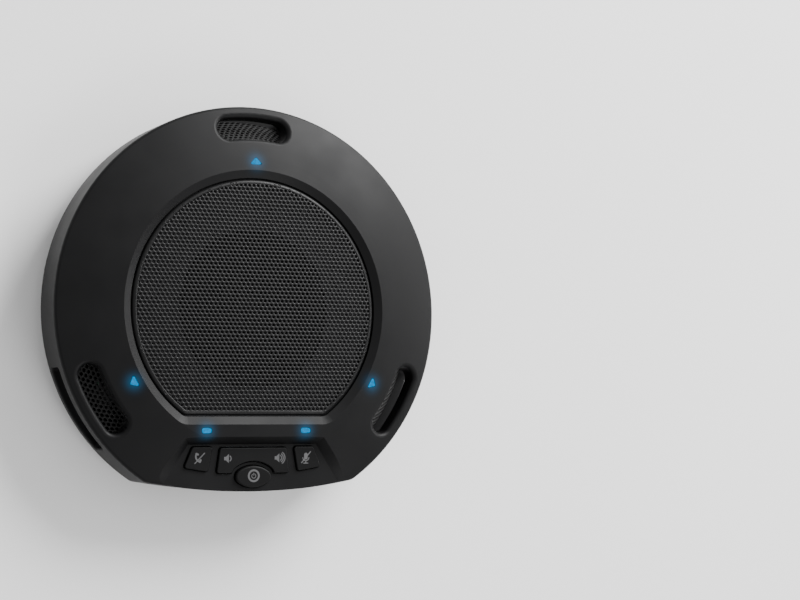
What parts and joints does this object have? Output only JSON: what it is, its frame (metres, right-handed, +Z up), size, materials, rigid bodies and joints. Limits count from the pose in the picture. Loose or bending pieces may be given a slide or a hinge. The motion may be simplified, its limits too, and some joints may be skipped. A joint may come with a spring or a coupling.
{
  "type": "conference speakerphone",
  "caption": "Round puck-shaped conference speakerphone with a sunk perforated speaker grille, side microphone bays, indicator lights and a front key panel.",
  "frame": {"origin": "on the loudspeaker's axis, in the plane the rubber feet stand on", "axes": "+Z up, +X to the right, -Y towards the front edge with the keys"},
  "size_m": [0.178, 0.168, 0.0395],
  "materials": {
    "basket_steel": "black paint",
    "battery_wrap": "shrink sleeve",
    "blue_light": "lit light guide",
    "capsule_metal": "bare can",
    "case_black": "matt black",
    "chip_black": "moulded package",
    "coil_copper": "enamelled copper wire",
    "foam_grey": "closed-cell foam",
    "green_board": "solder mask",
    "grille_metal": "perforated sheet, satin graphite paint",
    "housing_black": "finely textured matt graphite black",
    "key_plastic": "smooth satin black",
    "lead_red": "wire insulation",
    "led_white": "diffusing resin",
    "magnet_ferrite": "bare ferrite",
    "paper_cone": "coated black pulp",
    "pole_steel": "zinc plated",
    "rubber": "matt black",
    "screw_steel": "zinc plated",
    "shield_can": "tinned",
    "silicone": "translucent grey silicone",
    "socket_steel": "plated",
    "spider_cloth": "resin-treated cloth"
  },
  "bodies": {
    "housing": {"aux_jack": "chip_black", "battery_leads": "lead_red", "battery_pack": "battery_wrap", "battery_pad": "foam_grey", "board_chips": "chip_black", "bottom_case": "case_black", "case_screws": "screw_steel", "chamber_screws": "screw_steel", "direction_light_left": "blue_light", "direction_light_rear": "blue_light", "direction_light_right": "blue_light", "foot_front_left": "rubber", "foot_front_right": "rubber", "foot_rear_left": "rubber", "foot_rear_right": "rubber", "key_board": "green_board", "key_leads": "lead_red", "key_mat": "silicone", "light_board": "green_board", "light_board_screws": "screw_steel", "light_chips": "led_white", "main_board": "green_board", "main_board_screws": "screw_steel", "main_processor": "chip_black", "mic_board_left": "green_board", "mic_board_rear": "green_board", "mic_board_right": "green_board", "mic_boot_left": "rubber", "mic_boot_rear": "rubber", "mic_boot_right": "rubber", "mic_capsule_left": "capsule_metal", "mic_capsule_rear": "capsule_metal", "mic_capsule_right": "capsule_metal", "mic_mesh_left": "grille_metal", "mic_mesh_rear": "grille_metal", "mic_mesh_right": "grille_metal", "radio_module": "shield_can", "speaker_chamber": "case_black", "speaker_frame": "basket_steel", "speaker_gasket": "foam_grey", "speaker_grille": "grille_metal", "speaker_magnet": "magnet_ferrite", "speaker_pole_piece": "pole_steel", "speaker_screws": "screw_steel", "speaker_spider": "spider_cloth", "speaker_surround": "rubber", "speaker_top_plate": "pole_steel", "status_light_left": "blue_light", "status_light_right": "blue_light", "top_cover": "housing_black", "usb_socket": "socket_steel"},
    "call_key": {"call_key": "key_plastic"},
    "mute_key": {"mute_key": "key_plastic"},
    "power_key": {"power_key": "key_plastic"},
    "volume_rocker": {"volume_rocker": "key_plastic"},
    "speaker_diaphragm": {"speaker_cone": "paper_cone", "speaker_dust_cap": "paper_cone", "speaker_voice_coil": "coil_copper"}
  },
  "joints": [
    {"name": "call_key_press", "type": "slide", "parent": "housing", "child": "call_key", "axis": [0, 0.04, -0.9992], "range_m": [0, 0.0008], "stiffness_N_per_m": 900, "springref_m": -0.0004, "deforming": ["key_mat"]},
    {"name": "mute_key_press", "type": "slide", "parent": "housing", "child": "mute_key", "axis": [0, 0.04, -0.9992], "range_m": [0, 0.0008], "stiffness_N_per_m": 900, "springref_m": -0.0004, "deforming": ["key_mat"]},
    {"name": "power_key_press", "type": "slide", "parent": "housing", "child": "power_key", "axis": [0, 0.04, -0.9992], "range_m": [0, 0.0008], "stiffness_N_per_m": 900, "springref_m": -0.0004, "deforming": ["key_mat"]},
    {"name": "volume_rock", "type": "hinge", "parent": "housing", "child": "volume_rocker", "pos_m": [0, -0.06214, 0.03055], "axis": [0, 0.9992, 0.04], "range_deg": [-2.5, 2.5], "stiffness_Nm_per_rad": 0.35, "deforming": ["key_mat"]},
    {"name": "diaphragm_travel", "type": "slide", "parent": "housing", "child": "speaker_diaphragm", "axis": [0, 0, 1], "range_m": [-0.0015, 0.0015], "stiffness_N_per_m": 1500, "deforming": ["speaker_surround", "speaker_spider"]}
  ]
}
